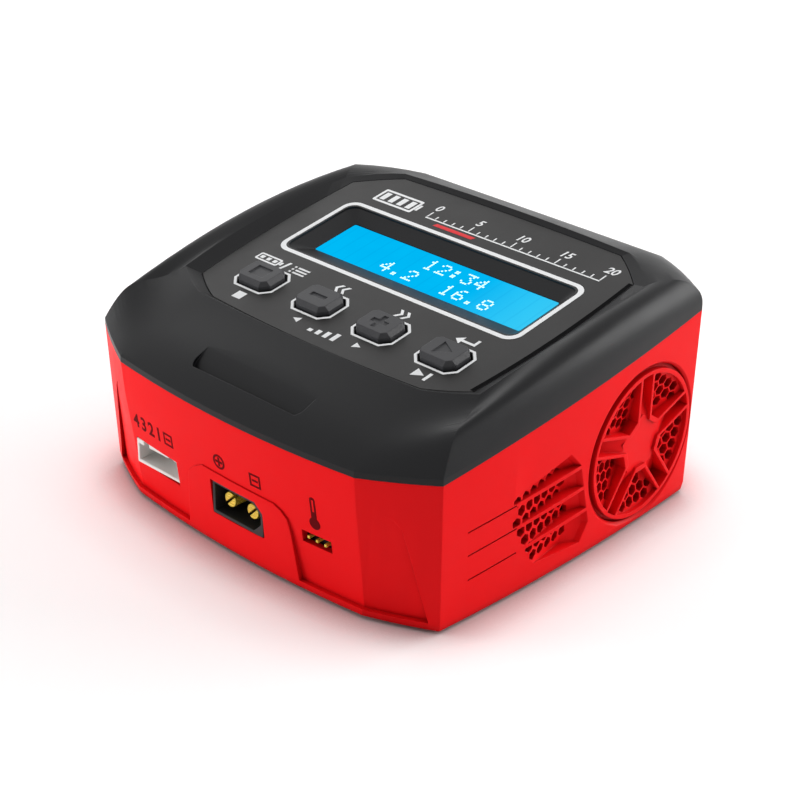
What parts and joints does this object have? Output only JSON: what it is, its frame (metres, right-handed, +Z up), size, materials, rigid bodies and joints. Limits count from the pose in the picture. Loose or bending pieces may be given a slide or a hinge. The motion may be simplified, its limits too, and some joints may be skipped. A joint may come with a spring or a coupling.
{
  "type": "balance battery charger",
  "caption": "Wedge-topped desk-top balance charger for model batteries, with display, press keys, side fan, charge sockets and mains inlet.",
  "frame": {"origin": "middle of the bounding box on the table, under the rubber feet", "axes": "+X to the fan side, -Y to the front with the sockets, +Z up"},
  "size_m": [0.109, 0.104, 0.0558],
  "materials": {
    "red_shell": "satin moulded plastic",
    "black_cover": "fine textured moulded plastic",
    "face_sheet": "printed satin sheet",
    "bezel_black": "smooth plastic",
    "lcd_blue": "lit display glass",
    "key_grey": "satin moulded keys",
    "plated_steel": "plated steel",
    "light_box": "white plastic",
    "board_green": "coated circuit board",
    "black_part": "black plastic",
    "grey_cable": "flat cable",
    "white_part": "pale plastic or ceramic",
    "gold_contact": "gold-plated brass",
    "fuse_glass": "glass tube",
    "copper_wire": "enamelled copper",
    "yellow_case": "yellow plastic",
    "can_sleeve": "sleeved can",
    "ferrite": "dark ferrite",
    "bare_aluminium": "extruded aluminium",
    "bush_bronze": "sintered bronze",
    "lead_black": "insulated lead",
    "foot_rubber": "matt rubber"
  },
  "bodies": {
    "case": {"base_case": "red_shell", "fan_grille": "red_shell", "top_cover": "black_cover", "faceplate": "face_sheet", "lcd_bezel": "bezel_black", "lcd_glass": "lcd_blue", "lcd_frame": "plated_steel", "switch_covers": "plated_steel", "control_screws": "plated_steel", "transistor_screws": "plated_steel", "fan_screws": "plated_steel", "board_screws": "plated_steel", "case_screws": "plated_steel", "mains_pins": "plated_steel", "balance_pins": "plated_steel", "lcd_backlight": "light_box", "control_board": "board_green", "main_board": "board_green", "control_chip": "black_part", "buzzer": "black_part", "link_headers": "black_part", "switch_bodies": "black_part", "bridge_rectifier": "black_part", "power_transistors": "black_part", "sensor_header": "black_part", "mains_inlet": "black_part", "fan_frame": "black_part", "output_housing": "black_part", "ribbon_cable": "grey_cable", "balance_socket": "white_part", "fan_plug": "white_part", "discharge_resistors": "white_part", "output_pins": "gold_contact", "sensor_pins": "gold_contact", "fuse": "fuse_glass", "emi_choke": "copper_wire", "output_inductor": "copper_wire", "fan_stator": "copper_wire", "x_capacitor": "yellow_case", "transformer_bobbin": "yellow_case", "bulk_capacitor": "can_sleeve", "output_capacitors": "can_sleeve", "transformer_core": "ferrite", "heatsink": "bare_aluminium", "fan_bush": "bush_bronze", "fan_lead": "lead_black", "rubber_feet": "foot_rubber"},
    "stop_key": {"stop_key": "key_grey", "stop_plunger": "white_part"},
    "minus_key": {"minus_key": "key_grey", "minus_plunger": "white_part"},
    "plus_key": {"plus_key": "key_grey", "plus_plunger": "white_part"},
    "start_key": {"start_key": "key_grey", "start_plunger": "white_part"},
    "fan_rotor": {"fan_rotor": "black_part", "fan_shaft": "plated_steel"}
  },
  "joints": [
    {"name": "stop_press", "type": "slide", "parent": "case", "child": "stop_key", "axis": [0, 0.1609, -0.987], "range_m": [0, 0.0005], "stiffness_N_per_m": 500, "springref_m": -0.001},
    {"name": "minus_press", "type": "slide", "parent": "case", "child": "minus_key", "axis": [0, 0.1609, -0.987], "range_m": [0, 0.0005], "stiffness_N_per_m": 500, "springref_m": -0.001},
    {"name": "plus_press", "type": "slide", "parent": "case", "child": "plus_key", "axis": [0, 0.1609, -0.987], "range_m": [0, 0.0005], "stiffness_N_per_m": 500, "springref_m": -0.001},
    {"name": "start_press", "type": "slide", "parent": "case", "child": "start_key", "axis": [0, 0.1609, -0.987], "range_m": [0, 0.0005], "stiffness_N_per_m": 500, "springref_m": -0.001},
    {"name": "fan_spin", "type": "hinge", "parent": "case", "child": "fan_rotor", "pos_m": [0.0421, 0.0219, 0.0206], "axis": [1, 0, 0], "continuous": true}
  ]
}
